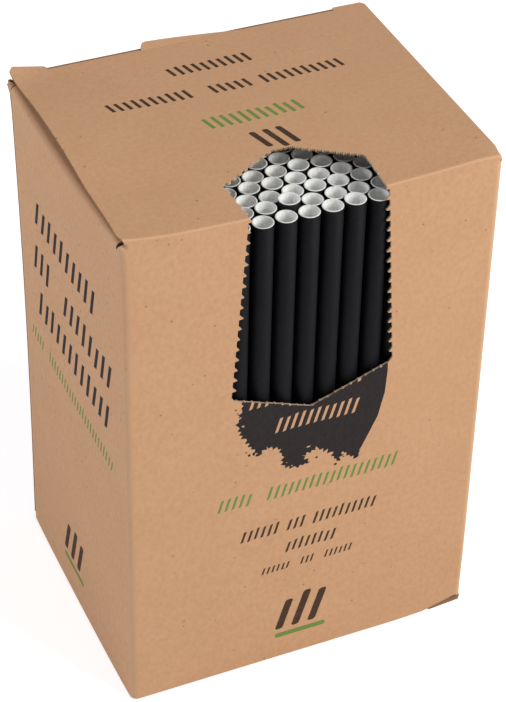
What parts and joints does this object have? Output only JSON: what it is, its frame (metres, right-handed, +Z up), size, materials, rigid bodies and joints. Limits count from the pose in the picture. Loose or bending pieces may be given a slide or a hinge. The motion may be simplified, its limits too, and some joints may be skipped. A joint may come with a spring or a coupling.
{
  "type": "straw dispenser carton",
  "caption": "Folded kraft-board carton with a perforated tear-out window across its front top edge, tuck-in lids, and black paper straws standing in rows inside.",
  "frame": {"origin": "middle of the carton's base, on the surface it stands on", "axes": "+Z up along the straws, +X to the right across the front panel, the front panel with the window faces -Y"},
  "size_m": [0.0958, 0.0791, 0.147],
  "materials": {
    "kraft_board": "matt uncoated kraft board",
    "black_paper": "matt black dyed paper outside, white paper inside"
  },
  "bodies": {
    "carton": {"carton_body": "kraft_board", "straw_row_01": "black_paper", "straw_row_02": "black_paper", "straw_row_03": "black_paper", "straw_row_04": "black_paper", "straw_row_05": "black_paper", "straw_row_06": "black_paper", "straw_row_07": "black_paper", "straw_row_08": "black_paper", "straw_row_09": "black_paper", "straw_row_10": "black_paper", "straw_row_11": "black_paper", "straw_row_12": "black_paper", "straw_row_13": "black_paper", "straw_row_14": "black_paper", "straw_row_15": "black_paper", "straw_row_16": "black_paper"},
    "top_flap": {"top_lid": "kraft_board"},
    "bottom_flap": {"bottom_lid": "kraft_board"}
  },
  "joints": [
    {"name": "top_lid_hinge", "type": "hinge", "parent": "carton", "child": "top_flap", "pos_m": [0, -0.03888, 0.1458], "axis": [1, 0, 0], "range_deg": [0, 180]},
    {"name": "bottom_lid_hinge", "type": "hinge", "parent": "carton", "child": "bottom_flap", "pos_m": [0, 0.03888, 0.0012], "axis": [1, 0, 0], "range_deg": [0, 180]}
  ]
}
